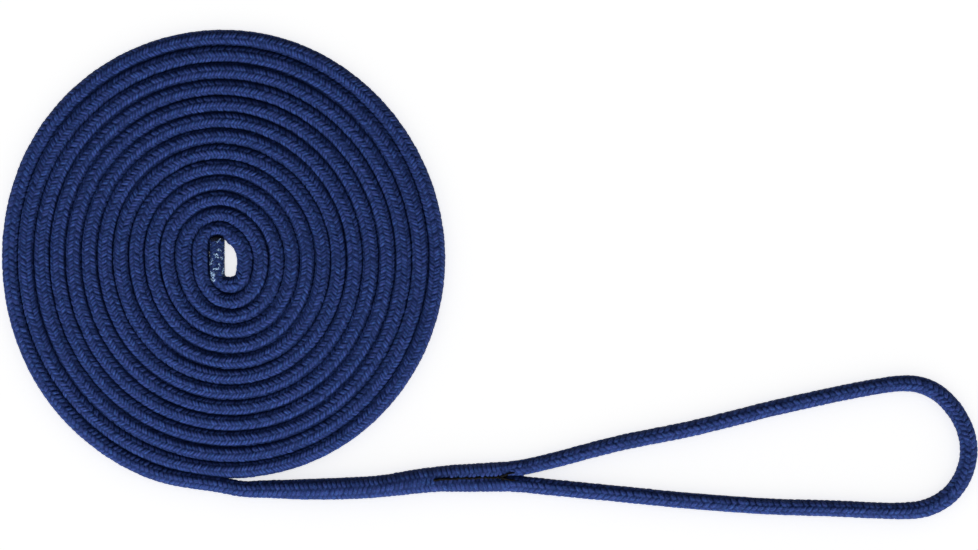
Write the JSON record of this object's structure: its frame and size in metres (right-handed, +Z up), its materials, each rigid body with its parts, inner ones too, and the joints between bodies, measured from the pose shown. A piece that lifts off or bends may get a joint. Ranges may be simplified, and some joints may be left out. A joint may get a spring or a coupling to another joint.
{
  "type": "coiled dock line",
  "caption": "Double-braid dock line in a flat spiral coil, with an eye splice lying open on a short lead and a heat-sealed bitter end.",
  "frame": {"origin": "on the ground under the middle of the whole line's bounding box", "axes": "+X from the coil towards the crown of the eye, +Y from the eye's side of the coil to its far side, +Z up from the ground that the line lies on"},
  "size_m": [0.7099, 0.3556, 0.0156],
  "materials": {
    "rope_cover": "royal blue braided nylon, low sheen",
    "rope_core": "undyed braided nylon",
    "twine": "black waxed whipping twine",
    "melted_end": "melted nylon, glossy",
    "clear_sleeve": "clear shrunk plastic film, glossy"
  },
  "bodies": {
    "root": {"coil_turns": "rope_cover", "lead_cover": "rope_cover", "lead_core": "rope_core", "splice_cover": "rope_cover", "splice_core": "rope_core", "buried_tail": "rope_core", "eye_cover": "rope_cover", "eye_core": "rope_core", "lock_stitching": "twine", "end_cover": "rope_cover", "end_core": "rope_core", "end_seal": "melted_end", "end_sleeve": "clear_sleeve"}
  },
  "joints": []
}
